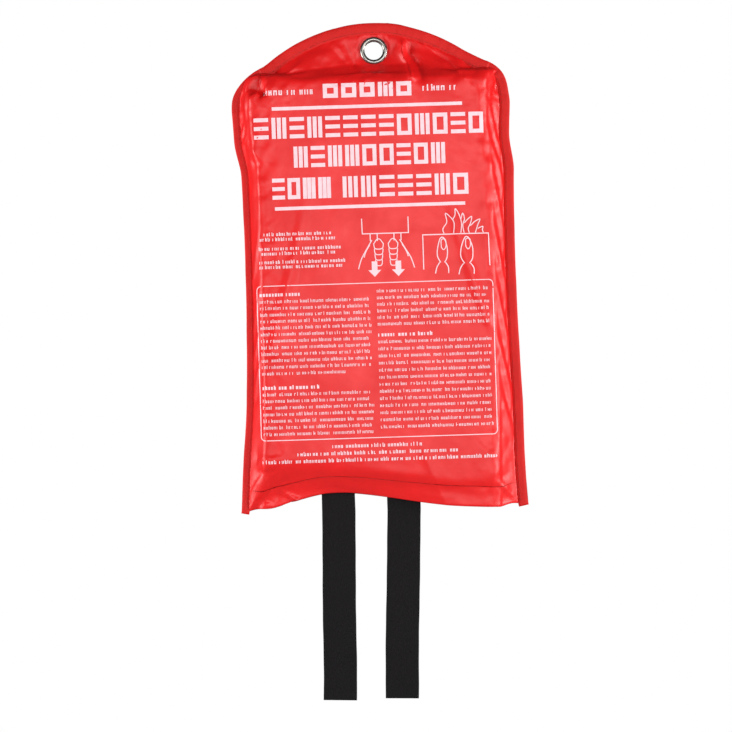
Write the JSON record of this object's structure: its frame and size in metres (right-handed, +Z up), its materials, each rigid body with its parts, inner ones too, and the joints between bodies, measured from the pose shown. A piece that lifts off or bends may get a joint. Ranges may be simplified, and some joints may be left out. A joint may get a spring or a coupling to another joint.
{
  "type": "fire blanket",
  "caption": "Fire blanket folded in a red coated-fabric pouch that hangs from an eyelet, with black webbing pull tapes hanging from its open mouth.",
  "frame": {"origin": "centre of the eyelet's hole, in the plane where the two panels are sewn together: the point that hangs on the hook", "axes": "+Z up, along the pouch from its mouth to its hanging eyelet; +Y to the rear, along the eyelet's hole, so the printed panel faces -Y; +X to the right seen from the front"},
  "size_m": [0.215, 0.0324, 0.507],
  "materials": {
    "coated_fabric": "woven polyester with a glossy red coating",
    "binding_tape": "folded red binding tape, satin",
    "red_thread": "matte sewing thread",
    "nickel": "bright nickel plate on pressed brass",
    "glass_cloth": "matte woven glass cloth",
    "white_thread": "matte sewing thread",
    "black_webbing": "matte ribbed polypropylene webbing"
  },
  "bodies": {
    "pouch": {"front_header": "coated_fabric", "front_panel": "coated_fabric", "rear_header": "coated_fabric", "rear_panel": "coated_fabric", "binding_left": "binding_tape", "binding_stitch_left": "red_thread", "binding_right": "binding_tape", "binding_stitch_right": "red_thread", "binding_top": "binding_tape", "binding_stitch_top": "red_thread", "front_hem_stitch": "red_thread", "rear_hem_stitch": "red_thread", "eyelet": "nickel", "eyelet_washer": "nickel"},
    "blanket": {"folded_blanket": "glass_cloth", "blanket_top_hem_stitch": "white_thread", "blanket_bottom_hem_stitch": "white_thread", "strap_left_sewn_end": "black_webbing", "strap_left_stitch_box": "red_thread", "strap_right_sewn_end": "black_webbing", "strap_right_stitch_box": "red_thread"},
    "strap_left": {"strap_left_tail": "black_webbing"},
    "strap_right": {"strap_right_tail": "black_webbing"}
  },
  "joints": [
    {"name": "pull_out", "type": "slide", "parent": "pouch", "child": "blanket", "axis": [0, 0, -1], "range_m": [0, 0.32]},
    {"name": "strap_left_swing", "type": "hinge", "parent": "blanket", "child": "strap_left", "pos_m": [-0.037, 0, -0.344], "axis": [1, 0, 0], "range_deg": [-80, 80]},
    {"name": "strap_right_swing", "type": "hinge", "parent": "blanket", "child": "strap_right", "pos_m": [0.012, 0, -0.344], "axis": [1, 0, 0], "range_deg": [-80, 80]}
  ]
}
